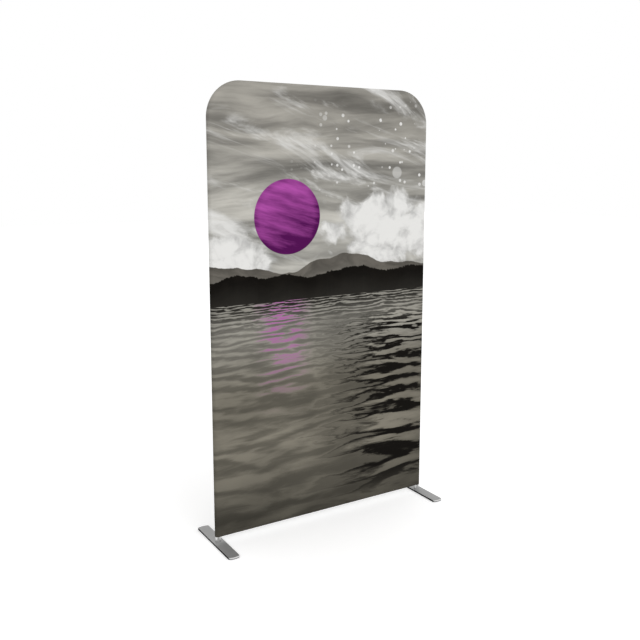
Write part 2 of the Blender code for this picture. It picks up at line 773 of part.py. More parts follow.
def build_foot(word, side):
    """A foot plate that turns on the screw of its spigot, with a pad under each end."""
    place = (side * upright_x, 0, 0)
    foot = marker("foot_axis_" + word, place, (1, 0, 0), (0, 0, 1))

    plate = add_piece("foot_plate_" + word, plate_mesh("foot_plate_" + word), STEEL)
    plate.parent = foot

    head_low = plate_bottom + SCREW_INSET
    land_top = head_low + SCREW_LAND
    cone_top = land_top + SCREW_HEAD_RADIUS - SCREW_RADIUS
    grown = SCREW_CLEARANCE
    hole = turned_cutter(
        "foot_hole_" + word,
        [
            (0, plate_top + CUT_OVERRUN),
            (SCREW_RADIUS + grown, plate_top + CUT_OVERRUN),
            (SCREW_RADIUS + grown, cone_top),
            (SCREW_HEAD_RADIUS + grown, land_top),
            (SCREW_HEAD_RADIUS + grown, plate_bottom - CUT_OVERRUN),
            (0, plate_bottom - CUT_OVERRUN),
        ],
    )
    hole.parent = foot
    combine(plate, hole)
    settle(plate)

    for end_word, end in (("front", -1), ("rear", 1)):
        name = "foot_pad_" + word + "_" + end_word
        pad_outline = rectangle(PLATE_WIDTH - 2 * PAD_INSET, PAD_LENGTH)
        pad_layers = ((0, 1, 1), (PAD_THICKNESS, 1, 1))
        pad_mesh = slab_mesh(name, pad_outline, pad_layers, [(PAD_CORNER, (0, 1, 2, 3))])
        pad = add_piece(name, pad_mesh, PAD_RUBBER)
        pad.parent = foot
        pad.location = (0, end * (PLATE_LENGTH / 2 - PLATE_END_BOW - PAD_INSET - PAD_LENGTH / 2), 0)
        settle(pad)

    spigot_radius = tube_bore - SPIGOT_CLEARANCE
    spigot_low = plate_top + SEAT_GAP
    spigot_high = spigot_low + SPIGOT_HEIGHT
    thread_radius = SCREW_RADIUS + SCREW_CLEARANCE
    thread_top = head_low + SCREW_LENGTH + SEAT_GAP
    spigot = turned(
        "foot_spigot_" + word,
        [
            (0, spigot_high),
            (spigot_radius - SPIGOT_CHAMFER, spigot_high),
            (spigot_radius, spigot_high - SPIGOT_CHAMFER),
            (spigot_radius, spigot_low),
            (thread_radius, spigot_low),
            (thread_radius, thread_top),
            (0, thread_top),
        ],
        ALUMINIUM,
    )
    spigot.parent = foot
    settle(spigot)

    screw = turned(
        "foot_screw_" + word,
        [
            (0, head_low + SCREW_LENGTH),
            (SCREW_RADIUS, head_low + SCREW_LENGTH),
            (SCREW_RADIUS, cone_top),
            (SCREW_HEAD_RADIUS, land_top),
            (SCREW_HEAD_RADIUS, head_low),
            (0, head_low),
        ],
        SPRING_STEEL,
    )
    screw.parent = foot
    hex_radius = HEX_WIDTH / sqrt(3)
    hex_points = [(hex_radius * cos(pi / 3 * i), hex_radius * sin(pi / 3 * i)) for i in range(6)]
    hex_layers = ((head_low - CUT_OVERRUN, 1, 1), (head_low + HEX_DEPTH, 1, 1))
    socket = add_cutter("foot_socket_" + word, slab_mesh("foot_socket_" + word, hex_points, hex_layers))
    socket.parent = foot
    combine(screw, socket)
    settle(screw)


build_frame()
build_cover()
build_zip()
build_foot("left", -1)
build_foot("right", 1)
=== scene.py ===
"""Looks of a fabric frame banner: the printed stretch cover with its zip, the tube frame and the foot plates.

Lengths are in metres. The printed front faces -Y, the width runs along X and the banner stands on Z 0.
"""

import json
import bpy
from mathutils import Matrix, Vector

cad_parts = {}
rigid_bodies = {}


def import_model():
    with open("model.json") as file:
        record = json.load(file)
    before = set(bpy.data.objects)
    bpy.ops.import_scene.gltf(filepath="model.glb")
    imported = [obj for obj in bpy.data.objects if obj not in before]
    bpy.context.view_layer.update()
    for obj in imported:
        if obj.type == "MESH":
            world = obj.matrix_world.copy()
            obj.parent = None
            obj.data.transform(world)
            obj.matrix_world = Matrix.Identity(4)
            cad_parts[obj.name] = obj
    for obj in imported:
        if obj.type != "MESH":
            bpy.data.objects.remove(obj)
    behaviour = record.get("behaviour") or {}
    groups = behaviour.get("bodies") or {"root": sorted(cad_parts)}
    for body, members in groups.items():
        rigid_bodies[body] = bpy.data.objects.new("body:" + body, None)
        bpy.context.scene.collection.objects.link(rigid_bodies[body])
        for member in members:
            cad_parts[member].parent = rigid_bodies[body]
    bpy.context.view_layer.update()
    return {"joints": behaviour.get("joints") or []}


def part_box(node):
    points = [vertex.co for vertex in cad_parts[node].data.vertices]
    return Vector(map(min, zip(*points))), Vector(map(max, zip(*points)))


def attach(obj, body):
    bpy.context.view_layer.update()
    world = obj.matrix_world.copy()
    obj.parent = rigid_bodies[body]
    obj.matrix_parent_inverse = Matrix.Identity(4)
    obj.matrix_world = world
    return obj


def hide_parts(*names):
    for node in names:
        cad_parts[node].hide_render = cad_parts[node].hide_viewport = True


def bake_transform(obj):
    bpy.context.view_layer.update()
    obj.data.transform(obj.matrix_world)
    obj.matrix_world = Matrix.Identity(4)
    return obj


bl_info = {
    "name": "Fabric Frame Banner",
    "version": (1, 0, 0),
    "blender": (4, 5, 0),
    "location": "3D View > Sidebar > Banner",
    "description": "Dresses the solids of a fabric frame banner and sets its studio",
    "category": "Object",
}

from math import asin, cos, e, pi, radians, sin, tau

import bmesh
import bpy
from bpy.props import FloatProperty, FloatVectorProperty, IntProperty, PointerProperty
from mathutils import Vector

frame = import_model()

# Places that the solids give
front_low, front_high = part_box("fabric_front")
tube_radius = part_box("top_tube")[1].y
cover_outside = -front_low.y
upright_x = front_high.x - cover_outside
top_z = front_high.z - cover_outside
bottom_z = front_low.z + cover_outside
leg_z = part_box("fabric_back")[0].z
plate_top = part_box("foot_plate_left")[1].z
teeth_low, teeth_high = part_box("zip_teeth_upper")
lower_teeth_low, lower_teeth_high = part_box("zip_teeth_lower")
zip_z = (teeth_low.z + lower_teeth_high.z) / 2

SIDES = ((-1, "left"), (1, "right"))
ACROSS, THROUGH = Vector((1, 0, 0)), Vector((0, 1, 0))


def number(name, description, default, **kind):
    return FloatProperty(name=name, description=description, default=default, **kind)


def length(name, description, default):
    return number(name, description, default, unit="LENGTH", precision=5)


def colour(name, description, default):
    return FloatVectorProperty(
        name=name, description=description, default=default, subtype="COLOR", size=3, min=0.0, max=1.0
    )


class CoverSettings(bpy.types.PropertyGroup):
    """Sizes and colours of the stretch cover."""

    thickness: length("Cloth", "Thickness of the cloth", 0.0006)
    corner_radius: length("Corner radius", "Outer radius of the cover's top corners", 0.156)
    post_gap: length("Post gap", "From a post to the edge of the flap beside it", 0.003)
    seam_gap: length("Seam gap", "Width of the groove along the side seam", 0.0003)
    seam_roll: length("Seam roll", "Width of cloth that turns down into the seam", 0.0012)
    pucker: length("Pucker", "Height of the puckers along the seam at the round corners", 0.0005)
    puckers: IntProperty(name="Puckers", description="Puckers round each corner", default=17)
    corner_steps: IntProperty(name="Corner steps", description="Steps round each corner", default=96)
    wrap_steps: IntProperty(name="Wrap steps", description="Steps round the frame tube", default=10)
    knit_pitch: length("Knit pitch", "Distance from one knitted wale to the next", 0.0009)
    stitch_pitch: length("Stitch pitch", "Distance from one stitch to the next", 0.0036)
    stitch_length: length("Stitch length", "Length of a stitch", 0.0028)
    thread: length("Thread", "Thickness of the sewing thread", 0.00045)
    hem: length("Hem", "From the cover's lower edge to its hem stitches", 0.007)
    hem_inset: length("Zip hem", "From the cloth's edge at the zip to its stitches", 0.0022)
    zip_opening: length("Zip opening", "Width of the zip that shows between the cloths", 0.011)
    sky_high: colour("Sky, high", "Print colour at the top", (0.285, 0.272, 0.243))
    sky_low: colour("Sky, low", "Print colour above the hills", (0.470, 0.458, 0.418))
    cloud: colour("Cloud", "Print colour of the clouds and light spots", (0.800, 0.795, 0.775))
    far_hill: colour("Far hills", "Print colour of the far hills", (0.110, 0.101, 0.087))
    near_hill: colour("Near hills", "Print colour of the near hills", (0.006, 0.005, 0.004))
    water_far: colour("Water, far", "Print colour of the water at the shore", (0.262, 0.252, 0.222))
    water_near: colour("Water, near", "Print colour of the water at the foot", (0.118, 0.109, 0.088))
    water_dark: colour("Water, dark", "Print colour of the dark reflections", (0.007, 0.006, 0.005))
    disc_light: colour("Disc, light", "Print colour of the disc's upper part", (0.450, 0.085, 0.400))
    disc_dark: colour("Disc, dark", "Print colour of the disc's lower part", (0.085, 0.006, 0.085))
    lining: colour("Lining", "Colour of the cloth edge in the seam", (0.060, 0.056, 0.050))
    sewing: colour("Sewing thread", "Colour of the stitches", (0.070, 0.066, 0.060))


class ZipSettings(bpy.types.PropertyGroup):
    """Sizes and colours of the zip."""

    tooth_pitch: length("Tooth pitch", "Distance from one tooth to the next in a row", 0.0020)
    tooth_width: length("Tooth width", "Width of a tooth along the zip", 0.00125)
    tooth_neck: length("Tooth neck", "Width of a tooth where it leaves the tape", 0.0009)
    tooth_round: length("Tooth round", "How far a tooth's edges are rounded", 0.00035)
    ridge: length("Tape ridge", "Height of the woven ridges of the tape", 0.00012)
    ridges: IntProperty(name="Ridges", description="Woven ridges across each tape", default=9)
    nylon: colour("Nylon", "Colour of the teeth", (0.030, 0.029, 0.028))
    tape: colour("Tape", "Colour of the tape", (0.022, 0.021, 0.020))
    metal: colour("Zip metal", "Colour of the slider, tab and stops", (0.235, 0.235, 0.245))


class MetalSettings(bpy.types.PropertyGroup):
    """Colours of the frame and the feet."""

    aluminium: colour("Aluminium", "Colour of the tubes", (0.600, 0.600, 0.595))
    spring: colour("Spring steel", "Colour of the snap buttons and leaf springs", (0.380, 0.385, 0.400))
    leaf: length("Leaf", "Thickness of the leaf springs", 0.0006)
    leaf_bend: length("Leaf bend", "Radius of the leaf springs' bend", 0.0025)
    plate: colour("Foot plate", "Colour of the plates' upper faces", (0.395, 0.395, 0.392))
    # Painted highlight: the lighter band on the rounded edges of the plates' ends stands in for light caught
    # there
    plate_edge_painted_highlight: colour("Plate edge", "Colour of the rounded edges at the plates' ends", (0.680, 0.680, 0.675))
    # Painted shade: the plates' end faces are painted darker than the top, standing in for how light falls on
    # them
    plate_end_painted_shade: colour("Plate end", "Colour of the plates' end faces", (0.260, 0.260, 0.260))
    # Painted reflection: the near-black long sides stand in for dark surroundings reflected in the steel
    plate_side: colour("Plate side", "Colour of the plates' long sides", (0.008, 0.008, 0.009))
    screw: colour("Screw", "Colour of the countersunk screws", (0.150, 0.150, 0.155))
    rubber: colour("Rubber", "Colour of the pads", (0.020, 0.020, 0.020))


class StageSettings(bpy.types.PropertyGroup):
    """The studio round the banner."""

    floor_size: length("Floor", "Side of the floor", 40.0)
    floor_colour: colour("Floor colour", "Colour of the floor", (0.900, 0.900, 0.900))
    floor_lift: number("Floor lift", "Glow of the floor that only the camera and gloss see", 0.34)
    sky_light: number("Sky light", "Strength of the soft light all round", 0.92)
    sky_fall: number("Sky fall", "How much weaker the soft light is from the far left", 0.35)
    lamp_energy: number("Lamp", "Strength of the soft lamp", 0.55)
    lamp_spread: number("Lamp spread", "Angle that the lamp fills", radians(50), subtype="ANGLE")
    camera_place: FloatVectorProperty(
        name="Camera", description="Place of the camera", default=(-1.881, -3.021, 1.644), unit="LENGTH"
    )
    camera_yaw: number("Camera yaw", "Turn of the camera from +Y", -0.5505, subtype="ANGLE")
    camera_pitch: number("Camera pitch", "Downward tilt of the camera", 0.1524, subtype="ANGLE")
    camera_lens: number("Lens", "Focal length for a 36 mm sensor", 44.172, unit="CAMERA")
    camera_shift: number("Shift", "Vertical shift of the picture", -0.050)


class Tree:
    """Short ways to lay out the nodes of a material or a world."""

    def __init__(self, tree):
        self.nodes = tree.nodes
        self.links = tree.links

    def feed(self, socket, value):
        if isinstance(value, bpy.types.NodeSocket):
            self.links.new(value, socket)
        elif socket.type == "RGBA" and len(value) == 3:
            socket.default_value = (*value, 1.0)
        else:
            socket.default_value = value

    def node(self, kind, *values, **named_values):
        """A new node, its inputs fed in their order or by their names in lower case."""
        node = self.nodes.new("ShaderNode" + kind)
        for socket, value in zip(node.inputs, values):
            self.feed(socket, value)
        for name, value in named_values.items():
            self.feed(node.inputs[name.capitalize()], value)
        return node

    def parts_of(self, vector):
        return self.node("SeparateXYZ", vector).outputs

    def point(self, x=0.0, y=0.0, z=0.0):
        return self.node("CombineXYZ", x, y, z).outputs[0]

    def math(self, operation, *values):
        node = self.node("Math", *values)
        node.operation = operation
        return node.outputs[0]

    def add(self, *values):
        total = values[0]
        for value in values[1:]:
            total = self.math("ADD", total, value)
        return total

    def times(self, *values):
        total = values[0]
        for value in values[1:]:
            total = self.math("MULTIPLY", total, value)
        return total

    def fade(self, value, low, high, start=0.0, end=1.0, way="SMOOTHSTEP"):
        """A rise from start to end while the value goes from low to high."""
        node = self.node("MapRange", value, low, high, start, end)
        node.interpolation_type = way
        return node.outputs[0]

    def seen_rays(self, *kinds):
        """1 for rays of the camera and of the kinds named, 0 for others."""
        path = self.node("LightPath").outputs
        seen = path["Is Camera Ray"]
        for kind in kinds:
            seen = self.math("MAXIMUM", seen, path[kind])
        return seen


class Finish(Tree):
    """One material, with its place on the object and ways to paint it."""

    def __init__(self, name, roughness, metallic=0.0, **constants):
        self.material = bpy.data.materials.new(name)
        self.material.use_nodes = True
        super().__init__(self.material.node_tree)
        self.shader = self.nodes["Principled BSDF"]
        self.sockets = {socket.name.lower().replace(" ", "_"): socket for socket in self.shader.inputs}
        self.set(roughness=roughness, metallic=metallic, **constants)
        where = self.node("TexCoord").outputs
        self.place = where["Object"]
        self.normal = where["Normal"]
        self.x, self.y, self.z = self.parts_of(self.place)

    def set(self, **values):
        """Feeds the shader's sockets, which are named in lower case."""
        for name, value in values.items():
            self.feed(self.sockets[name], value)

    def noise(self, place, scale, detail=2.0, roughness=0.5, distortion=0.0):
        given = {"scale": scale, "detail": detail, "roughness": roughness, "distortion": distortion}
        return self.node("TexNoise", place, **given).outputs["Fac"]

    def cells(self, place, scale):
        """Distance to the nearest of scattered points, and a random number for each of them."""
        found = self.node("TexVoronoi", place, scale=scale).outputs
        return found["Distance"], self.parts_of(found["Color"])[0]

    def drift(self, across, seed, up, detail, roughness, distortion=0.0):
        """Noise over the front, stretched by the scales in across and up, which are (value, scale)."""
        place = self.point(self.times(*across), seed, self.times(*up))
        return self.noise(place, 1.0, detail, roughness, distortion)

    def distance(self, x, z):
        return self.math("SQRT", self.add(self.times(x, x), self.times(z, z)))

    def tint(self, share, below, above, mode="MIX"):
        node = self.node("Mix", share)
        node.data_type = "RGBA"
        node.blend_type = mode
        self.feed(node.inputs[6], below)
        self.feed(node.inputs[7], above)
        return node.outputs[2]

    def shade(self, base, amount):
        """The colour made lighter or darker by a number."""
        return self.tint(1.0, base, self.point(amount, amount, amount), "MULTIPLY")

    def shade_by(self, base, *rise):
        """The colour shaded by a fade."""
        return self.shade(base, self.fade(*rise))

    def paint(self, value):
        self.set(base_color=value)

    def vector_math(self, operation, *values):
        node = self.node("VectorMath", *values)
        node.operation = operation
        return node.outputs["Value" if operation == "DOT_PRODUCT" else "Vector"]

    def round_normal(self, axis_x):
        """The normal, without its facets, of the round tubes that stand upright at axis_x and at -axis_x."""
        beside = self.math("SUBTRACT", self.math("ABSOLUTE", self.x), axis_x)
        across = self.times(beside, self.math("SIGN", self.x))
        out = self.vector_math("NORMALIZE", self.point(across, self.y))
        facing = self.vector_math("DOT_PRODUCT", out, self.normal)
        out_x, out_y, _ = self.parts_of(out)
        upward = self.parts_of(self.normal)[2]
        return self.vector_math(
            "NORMALIZE", self.point(self.times(out_x, facing), self.times(out_y, facing), upward)
        )

    def relief(self, height, distance, strength=1.0, normal=None):
        bump = self.node("Bump", height=height, distance=distance, strength=strength)
        if normal:
            self.feed(bump.inputs["Normal"], normal)
        self.set(normal=bump.outputs[0])


def dress(nodes, finish):
    """Gives solids of the frame a material."""
    for name in nodes:
        solid = bpy.data.objects[name]
        solid.data.materials.clear()
        solid.data.materials.append(finish.material)


def new_piece(name, mesh, finish, slot, replaces=(), body="frame"):
    """A piece of the scene, riding on a body unless that is None. slot is not used."""
    piece = bpy.data.objects.new(name, mesh)
    bpy.context.scene.collection.objects.link(piece)
    mesh.materials.append(finish.material)
    if body:
        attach(piece, body)
    if replaces:
        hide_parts(*replaces)
    return piece


def mesh_of(name, form):
    bmesh.ops.recalc_face_normals(form, faces=form.faces)
    mesh = bpy.data.meshes.new(name)
    form.to_mesh(mesh)
    form.free()
    return mesh


def loft(form, rows):
    """A closed tube of faces through rows of points, with both ends capped."""
    count = len(rows[0])
    for low, high in zip(rows, rows[1:]):
        for i in range(count):
            j = (i + 1) % count
            form.faces.new((low[i], low[j], high[j], high[i]))
    form.faces.new(rows[0])
    form.faces.new(rows[-1])


def settle(piece):
    """Applies the piece's modifiers."""
    graph = bpy.context.evaluated_depsgraph_get()
    mesh = bpy.data.meshes.new_from_object(piece.evaluated_get(graph))
    piece.modifiers.clear()
    piece.data = mesh


# The cover

FOLD_ANGLE = pi / 5
SEAM_SHARE = 0.35  # of the cloth's thickness that is left at the seam
COURSE_SHARE = 0.8  # of the knit's pitch across that it has upwards
COURSE_DEPTH_SHARE = 0.6  # of the depth between wales that lies between courses
KNIT_DEPTH = 0.00004
# The strip of cloth edges under the seam, as (height over the tube, turn from the seam) round its section
LINING_SECTION = ((0.00006, -0.14), (0.00022, -0.14), (0.00022, 0.0), (0.00022, 0.14), (0.00006, 0.14))

# Places in the print. A pair holds where a change begins and where it ends.
LINE, SHORE_LINE = 0.0015, 0.001  # half the width of an edge
SKY_HEIGHTS = (1.20, 1.95)
# Banks of cloud: (x, z, share of the width, size)
CLOUD_BANKS = ((0.36, 1.36, 0.50, 0.30), (-0.52, 1.27, 0.42, 0.17))
# Light spots: (scale, seed, size, strength)
LIGHT_SPOTS = ((7.5, 1.7, 0.24, 0.40), (16.0, 5.2, 0.28, 0.70), (34.0, 3.3, 0.30, 0.90))
SPOTS_FOOT, SPOTS_HEAD, SPOTS_LEFT = (1.46, 1.62), (1.86, 1.98), (-0.76, -0.36)
DISC_X, DISC_Z, DISC_RADIUS = -0.20, 1.43, 0.165
DISC_RIM_SHARE = 0.80  # of the radius, from where the disc darkens outwards
DISC_LIT = (-0.20, 0.20)
# Lines of hills: (height, rise, seed, wave, raggedness, mist)
HILLS = ((1.178, 0.20, 3.0, 2.6, 0.006, 0.55), (1.108, 0.30, 12.1, 1.9, 0.030, 0.08))
MIST_DEPTH = 0.17
# The water, whose depths are measured down from the shore
SHORE = 1.060
FAR_DEPTH, SHADOW_DEPTH = 0.42, 0.15
DEPTH_SHADES = ((0.10, 0.38, 0.74, 1.0), (0.62, 1.02, 1.50, 0.66))  # two depths, and the shade at each
RIPPLE_WIDTH, RIPPLE_SPREAD = 0.12, 0.80  # width at the shore, and how much it grows with depth
RIPPLE_ROWS, ROW_START = 7.5, 0.075
# The dark reflection and the disc's: half widths and depths at which they fade, and how far ripples sway them
COLUMN_X, COLUMN_SWAY, COLUMN_EDGE = 0.24, 1.10, (0.10, 0.22)
COLUMN_HEAD, COLUMN_FOOT = (0.05, 0.16), (0.86, 1.06)
TRAIL_SWAY, TRAIL_EDGE, TRAIL_DEPTHS = 0.22, (0.05, 0.16), (0.03, 0.55)


def print_finish(name, cover):
    """The print: a generic lake scene in warm greys with one purple disc, on knitted polyester."""
    cloth = Finish(name, roughness=0.88, specular_ior_level=0.04)
    sky = print_sky(cloth, cover)
    sky = print_hills(cloth, cover, print_disc(cloth, cover, sky))
    depth = cloth.math("SUBTRACT", SHORE, cloth.z)
    water = print_water(cloth, cover, depth)
    cloth.paint(cloth.tint(cloth.fade(depth, -SHORE_LINE, SHORE_LINE), sky, water))
    wale = cloth.math("SINE", cloth.times(cloth.x, tau / cover.knit_pitch))
    course = cloth.math("SINE", cloth.times(cloth.z, tau / (cover.knit_pitch * COURSE_SHARE)))
    cloth.relief(cloth.add(wale, cloth.times(course, COURSE_DEPTH_SHARE)), KNIT_DEPTH, 0.35)
    return cloth


def print_sky(cloth, cover):
    """A streaked sky with slanting wisps, cloud banks low over the hills and soft light spots above them."""
    x, z = cloth.x, cloth.z
    sky = cloth.tint(cloth.fade(z, *SKY_HEIGHTS), cover.sky_low, cover.sky_high)
    drift = cloth.drift((x, 1.2), 0.3, (z, 3.2), detail=3.0, roughness=0.5)
    swept = cloth.add(z, cloth.times(drift, 0.2))
    streaks = cloth.drift((x, 1.6), 0.3, (swept, 14.0), detail=5.0, roughness=0.55)
    sky = cloth.shade_by(sky, streaks, 0.30, 0.70, 0.54, 1.42)
    sky = cloth.shade_by(sky, drift, 0.30, 0.70, 0.72, 1.28)
    slant = cloth.add(z, cloth.times(x, 0.30))
    wisps = cloth.drift((x, 2.0), 11.0, (slant, 7.5), detail=7.0, roughness=0.60, distortion=0.9)
    sky = cloth.tint(cloth.fade(wisps, 0.48, 0.70, 0.0, 0.90), sky, cover.cloud)

    flattened = cloth.point(x, 4.0, cloth.times(z, 1.15))
    billows = cloth.noise(flattened, 5.5, detail=8.0, roughness=0.56, distortion=0.5)
    puffs = cloth.noise(cloth.point(x, 6.5, z), 17.0, detail=6.0, roughness=0.55, distortion=0.4)
    for middle_x, middle_z, stretch, size in CLOUD_BANKS:
        reach = cloth.distance(cloth.times(cloth.add(x, -middle_x), stretch), cloth.add(z, -middle_z))
        bulk = cloth.add(billows, cloth.fade(reach, 0.0, size, 0.46, -0.06))
        tone = cloth.shade_by(cover.cloud, cloth.add(puffs, bulk), 0.95, 1.45, 0.55, 1.02)
        sky = cloth.tint(cloth.fade(bulk, 0.60, 0.74), sky, tone)

    band = cloth.times(cloth.fade(z, *SPOTS_FOOT), cloth.fade(z, *SPOTS_HEAD, 1.0, 0.0))
    band = cloth.times(band, cloth.fade(cloth.add(x, cloth.times(z, -0.3)), *SPOTS_LEFT))
    for scale, seed, largest, strength in LIGHT_SPOTS:
        distance, chance = cloth.cells(cloth.point(x, seed, z), scale)
        radius = cloth.fade(chance, 0.45, 1.0, 0.0, largest)
        spot = cloth.fade(cloth.math("SUBTRACT", radius, distance), 0.0, 0.05)
        sky = cloth.tint(cloth.times(spot, band, strength), sky, cover.cloud)
    return sky


def print_disc(cloth, cover, sky):
    """The disc, lit from the upper left and crossed by thin veils of cloud."""
    x, z = cloth.add(cloth.x, -DISC_X), cloth.add(cloth.z, -DISC_Z)
    reach = cloth.distance(x, z)
    disc = cloth.fade(reach, DISC_RADIUS - LINE, DISC_RADIUS + LINE, 1.0, 0.0)
    lit = cloth.fade(cloth.add(z, cloth.times(x, -0.6)), *DISC_LIT)
    slant = cloth.add(cloth.z, cloth.times(x, 0.25))
    veil = cloth.drift((cloth.x, 3.4), 9.0, (slant, 24.0), detail=5.0, roughness=0.62)
    glow = cloth.add(cloth.times(lit, 0.75), cloth.fade(veil, 0.32, 0.70, -0.28, 0.42))
    rim = cloth.fade(reach, DISC_RADIUS * DISC_RIM_SHARE, DISC_RADIUS, 0.0, -0.25)
    share = cloth.math("MAXIMUM", cloth.add(glow, rim), 0.0)
    return cloth.tint(disc, sky, cloth.tint(share, cover.disc_dark, cover.disc_light))


def print_hills(cloth, cover, sky):
    """Two lines of hills in mist, the near one almost black with a ragged edge of trees."""
    trees = cloth.noise(cloth.point(cloth.x, 2.0), 85.0, detail=3.0, roughness=0.75)
    for tone, (height, rise, seed, wave, rag, mist) in zip((cover.far_hill, cover.near_hill), HILLS):
        slope = cloth.noise(cloth.point(cloth.x, seed), wave, detail=4.0, roughness=0.45)
        ridge = cloth.add(height, cloth.times(cloth.add(slope, -0.34), rise), cloth.times(trees, rag))
        below = cloth.math("SUBTRACT", ridge, cloth.z)
        folds = cloth.drift((cloth.x, 7.0), seed, (below, 16.0), detail=4.0, roughness=0.6, distortion=0.6)
        ground = cloth.shade_by(tone, folds, 0.3, 0.7, 0.72, 1.35)
        ground = cloth.tint(cloth.fade(below, 0.0, MIST_DEPTH, 0.0, mist), ground, cover.water_far)
        sky = cloth.tint(cloth.fade(below, -LINE, LINE), sky, ground)
    return sky


def print_water(cloth, cover, depth):
    """Rippled water that darkens towards the foot, with ripples that widen and two broken reflections."""
    near = cloth.math("MAXIMUM", depth, 0.0)
    along = cloth.math("DIVIDE", cloth.x, cloth.add(cloth.times(near, RIPPLE_SPREAD), RIPPLE_WIDTH))
    level = cloth.times(cloth.math("LOGARITHM", cloth.add(near, ROW_START), e), RIPPLE_ROWS)
    warp = cloth.drift((along, 0.9), 6.0, (level, 0.55), detail=3.0, roughness=0.55, distortion=0.3)
    waves = cloth.math("SINE", cloth.times(cloth.add(level, cloth.times(warp, 3.2)), tau))
    chop = cloth.drift((along, 2.6), 2.0, (level, 2.4), detail=8.0, roughness=0.68, distortion=0.4)
    ripple = cloth.add(cloth.times(waves, 0.16), cloth.times(chop, 0.95))
    swell = cloth.point(cloth.times(cloth.x, 1.5), 1.0, cloth.times(cloth.z, 3.0))
    swell = cloth.noise(swell, 1.4, detail=3.0)

    water = cloth.tint(cloth.fade(depth, 0.0, FAR_DEPTH), cover.water_far, cover.water_near)
    water = cloth.shade_by(water, ripple, 0.28, 0.70, 0.62, 1.20)
    water = cloth.shade_by(water, swell, 0.3, 0.7, 0.80, 1.20)
    for shades in DEPTH_SHADES:
        water = cloth.shade_by(water, depth, *shades)

    sway = cloth.add(ripple, -0.5)
    beside = cloth.math("ABSOLUTE", cloth.add(cloth.x, -COLUMN_X, cloth.times(sway, COLUMN_SWAY)))
    reach = cloth.times(cloth.fade(depth, *COLUMN_HEAD), cloth.fade(depth, *COLUMN_FOOT, 1.0, 0.35))
    column = cloth.times(cloth.fade(beside, *COLUMN_EDGE, 1.0, 0.0), reach)
    rippled = cloth.times(column, cloth.fade(ripple, 0.44, 0.66, 1.0, 0.35))
    water = cloth.tint(rippled, water, cover.water_dark)
    shadow = cloth.fade(depth, 0.0, SHADOW_DEPTH, 0.95, 0.0)
    shadow = cloth.times(shadow, cloth.fade(ripple, 0.42, 0.60, 1.0, 0.25))
    water = cloth.tint(shadow, water, cover.water_dark)

    beside = cloth.math("ABSOLUTE", cloth.add(cloth.x, -DISC_X, cloth.times(sway, TRAIL_SWAY)))
    trail = cloth.times(cloth.fade(beside, *TRAIL_EDGE, 1.0, 0.0), cloth.fade(ripple, 0.52, 0.64))
    glint = cloth.times(trail, cloth.fade(depth, *TRAIL_DEPTHS, 0.75, 0.0))
    return cloth.tint(glint, water, cover.disc_light)


def frame_line(cover):
    """The frame's line from leg to leg over the top, as (x, z, way out x, way out z, share of a bend)."""
    bend = cover.corner_radius - cover_outside
    line = [(-upright_x, leg_z, -1.0, 0.0, 0.0)]
    steps = range(cover.corner_steps + 1)
    for side, order in ((-1, steps), (1, reversed(steps))):
        for step in order:
            share = step / cover.corner_steps
            out_x, out_z = side * cos(pi / 2 * share), sin(pi / 2 * share)
            x = side * (upright_x - bend) + bend * out_x
            line.append((x, top_z - bend + bend * out_z, out_x, out_z, share))
    line.append((upright_x, leg_z, 1.0, 0.0, 0.0))
    return line


def wrap_rings(form, cover, facing):
    """Rings of cloth from the flat face round the tubes to the seam, with puckers where the seam bends."""
    inside = cover_outside - cover.thickness
    seam = pi / 2 - asin(cover.seam_gap / 2 / inside)
    roll = seam - cover.seam_roll / inside
    turns = [roll * step / cover.wrap_steps for step in range(cover.wrap_steps + 1)] + [seam]
    rings = []
    for turn in turns:
        ring = []
        for x, z, out_x, out_z, share in frame_line(cover):
            wave = (1 + cos(tau * cover.puckers * share + facing)) / 2
            radius = inside + cover.pucker * wave * sin(pi * share) ** 0.5 * (turn / seam) ** 4
            reach = radius * sin(turn)
            ring.append(form.verts.new((x + out_x * reach, facing * radius * cos(turn), z + out_z * reach)))
        rings.append(ring)
    for inner, outer in zip(rings, rings[1:]):
        for i in range(len(inner) - 1):
            form.faces.new((inner[i], inner[i + 1], outer[i + 1], outer[i]))
    return rings[0], rings[-1]


def cloth_panel(name, cover, facing, leg_x, edge_z, flap, finish, slot, node):
    """A panel of the cover with a leg down each post. flap lists (y, z) of the rows below its edge."""
    form = bmesh.new()
    outline, seam = wrap_rings(form, cover, facing)
    flat_y = facing * (cover_outside - cover.thickness)
    right_low = form.verts.new((leg_x, flat_y, leg_z))
    right_high = form.verts.new((leg_x, flat_y, edge_z))
    left_high = form.verts.new((-leg_x, flat_y, edge_z))
    left_low = form.verts.new((-leg_x, flat_y, leg_z))
    form.faces.new((*outline, right_low, right_high, left_high, left_low))
    above = (left_high, right_high)
    for y, z in flap:
        below = (form.verts.new((-leg_x, y, z)), form.verts.new((leg_x, y, z)))
        form.faces.new((above[0], above[1], below[1], below[0]))
        above = below
    form.verts.index_update()
    thin = {vert.index for vert in seam}
    full = [vert.index for vert in form.verts if vert.index not in thin]
    bmesh.ops.recalc_face_normals(form, faces=form.faces)
    if sum(face.normal.y * face.calc_area() for face in form.faces) * facing < 0:
        bmesh.ops.reverse_faces(form, faces=form.faces)
    mesh = bpy.data.meshes.new(name)
    form.to_mesh(mesh)
    form.free()
    panel = new_piece(name, mesh, finish, slot, [node])
    group = panel.vertex_groups.new(name="thickness")
    group.add(full, 1.0, "REPLACE")
    group.add(list(thin), SEAM_SHARE, "REPLACE")
    cloth = panel.modifiers.new("cloth", "SOLIDIFY")
    cloth.thickness = cover.thickness
    cloth.offset = 1.0
    cloth.use_even_offset = True
    cloth.vertex_group = group.name
    settle(panel)
    panel.data.shade_smooth()
    panel.data.set_sharp_from_angle(angle=FOLD_ANGLE)
    return panel


